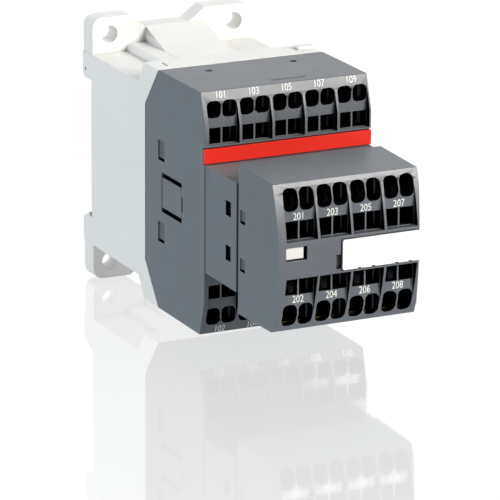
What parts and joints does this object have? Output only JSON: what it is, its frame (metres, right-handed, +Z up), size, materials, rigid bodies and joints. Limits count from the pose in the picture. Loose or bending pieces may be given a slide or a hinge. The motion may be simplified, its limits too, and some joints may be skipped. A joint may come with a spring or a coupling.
{
  "type": "din rail contactor",
  "caption": "Compact control relay contactor for a 35 mm DIN rail, with spring-clamp terminals, a front contact block, magnet, coil and moving contacts.",
  "frame": {"origin": "centre of the face that rests on the DIN rail, at the middle of the width and of the rail slot's height", "axes": "+Y out of the back towards the rail, front faces -Y, +X right seen from the front, +Z up"},
  "size_m": [0.045, 0.1125, 0.069],
  "materials": {
    "base_plastic": "light grey moulded thermoplastic, satin",
    "housing_plastic": "dark grey moulded thermoplastic, fine spark-eroded texture",
    "band_plastic": "red moulded plastic, semi-gloss",
    "white_plastic": "white moulded plastic, semi-gloss",
    "inner_plastic": "black thermoset moulding, satin",
    "bobbin_plastic": "natural glass-filled nylon, satin",
    "winding_copper": "enamelled copper wire",
    "core_iron": "ground iron with a zinc finish",
    "contact_brass": "plain brass with silver contact faces",
    "bridge_copper": "plain copper with silver contact faces",
    "terminal_tinned": "tinned copper alloy",
    "spring_steel": "stainless spring steel, bright"
  },
  "bodies": {
    "contactor": {"base_housing": "base_plastic", "terminal_housing": "housing_plastic", "aux_housing": "housing_plastic", "marking_band": "band_plastic", "marker_plate": "white_plastic", "aux_rear_cover": "inner_plastic", "coil_bobbin": "bobbin_plastic", "coil_winding": "winding_copper", "magnet_core": "core_iron", "return_spring_left": "spring_steel", "return_spring_right": "spring_steel", "main_fixed_contact_1_upper": "contact_brass", "main_clamp_spring_1_upper": "spring_steel", "aux_fixed_contact_1_upper": "contact_brass", "aux_clamp_spring_1_upper": "spring_steel", "main_fixed_contact_1_lower": "contact_brass", "main_clamp_spring_1_lower": "spring_steel", "aux_fixed_contact_1_lower": "contact_brass", "aux_clamp_spring_1_lower": "spring_steel", "main_fixed_contact_2_upper": "contact_brass", "main_clamp_spring_2_upper": "spring_steel", "aux_fixed_contact_2_upper": "contact_brass", "aux_clamp_spring_2_upper": "spring_steel", "main_fixed_contact_2_lower": "contact_brass", "main_clamp_spring_2_lower": "spring_steel", "aux_fixed_contact_2_lower": "contact_brass", "aux_clamp_spring_2_lower": "spring_steel", "main_fixed_contact_3_upper": "contact_brass", "main_clamp_spring_3_upper": "spring_steel", "aux_fixed_contact_3_upper": "contact_brass", "aux_clamp_spring_3_upper": "spring_steel", "main_fixed_contact_3_lower": "contact_brass", "main_clamp_spring_3_lower": "spring_steel", "aux_fixed_contact_3_lower": "contact_brass", "aux_clamp_spring_3_lower": "spring_steel", "main_fixed_contact_4_upper": "contact_brass", "main_clamp_spring_4_upper": "spring_steel", "aux_fixed_contact_4_upper": "contact_brass", "aux_clamp_spring_4_upper": "spring_steel", "main_fixed_contact_4_lower": "contact_brass", "main_clamp_spring_4_lower": "spring_steel", "aux_fixed_contact_4_lower": "contact_brass", "aux_clamp_spring_4_lower": "spring_steel", "coil_terminal_upper": "terminal_tinned", "coil_clamp_spring_upper": "spring_steel", "coil_terminal_lower": "terminal_tinned", "coil_clamp_spring_lower": "spring_steel"},
    "moving_system": {"contact_carrier": "inner_plastic", "armature": "core_iron", "aux_carrier": "inner_plastic", "position_indicator": "white_plastic"},
    "main_bridge_1": {"main_contact_bridge_1": "bridge_copper"},
    "main_bridge_2": {"main_contact_bridge_2": "bridge_copper"},
    "main_bridge_3": {"main_contact_bridge_3": "bridge_copper"},
    "main_bridge_4": {"main_contact_bridge_4": "bridge_copper"},
    "aux_bridge_1": {"aux_contact_bridge_1": "bridge_copper"},
    "aux_bridge_2": {"aux_contact_bridge_2": "bridge_copper"},
    "aux_bridge_3": {"aux_contact_bridge_3": "bridge_copper"},
    "aux_bridge_4": {"aux_contact_bridge_4": "bridge_copper"},
    "rail_clip_body": {"rail_clip": "spring_steel"}
  },
  "joints": [
    {"name": "carrier_slide", "type": "slide", "parent": "contactor", "child": "moving_system", "axis": [0, 1, 0], "range_m": [0, 0.0042], "stiffness_N_per_m": 400, "springref_m": -0.006, "deforming": ["return_spring_left", "return_spring_right"]},
    {"name": "main_bridge_1_slide", "type": "slide", "parent": "moving_system", "child": "main_bridge_1", "axis": [0, 1, 0], "range_m": [-0.0014, 0]},
    {"name": "main_bridge_2_slide", "type": "slide", "parent": "moving_system", "child": "main_bridge_2", "axis": [0, 1, 0], "range_m": [-0.0014, 0]},
    {"name": "main_bridge_3_slide", "type": "slide", "parent": "moving_system", "child": "main_bridge_3", "axis": [0, 1, 0], "range_m": [-0.0014, 0]},
    {"name": "main_bridge_4_slide", "type": "slide", "parent": "moving_system", "child": "main_bridge_4", "axis": [0, 1, 0], "range_m": [-0.0014, 0]},
    {"name": "aux_bridge_1_slide", "type": "slide", "parent": "moving_system", "child": "aux_bridge_1", "axis": [0, 1, 0], "range_m": [-0.0014, 0]},
    {"name": "aux_bridge_2_slide", "type": "slide", "parent": "moving_system", "child": "aux_bridge_2", "axis": [0, 1, 0], "range_m": [-0.0014, 0]},
    {"name": "aux_bridge_3_slide", "type": "slide", "parent": "moving_system", "child": "aux_bridge_3", "axis": [0, 1, 0], "range_m": [-0.0014, 0]},
    {"name": "aux_bridge_4_slide", "type": "slide", "parent": "moving_system", "child": "aux_bridge_4", "axis": [0, 1, 0], "range_m": [-0.0014, 0]},
    {"name": "rail_clip_slide", "type": "slide", "parent": "contactor", "child": "rail_clip_body", "axis": [0, 0, 1], "range_m": [0, 0.002], "stiffness_N_per_m": 4000, "springref_m": -0.001}
  ],
  "couplings": [
    {"joint": "main_bridge_1_slide", "follows": "carrier_slide", "ratio": -0.3333},
    {"joint": "main_bridge_2_slide", "follows": "carrier_slide", "ratio": -0.3333},
    {"joint": "main_bridge_3_slide", "follows": "carrier_slide", "ratio": -0.3333},
    {"joint": "main_bridge_4_slide", "follows": "carrier_slide", "ratio": -0.3333},
    {"joint": "aux_bridge_1_slide", "follows": "carrier_slide", "ratio": -0.3333},
    {"joint": "aux_bridge_2_slide", "follows": "carrier_slide", "ratio": -0.3333},
    {"joint": "aux_bridge_3_slide", "follows": "carrier_slide", "ratio": -0.3333},
    {"joint": "aux_bridge_4_slide", "follows": "carrier_slide", "ratio": -0.3333}
  ]
}
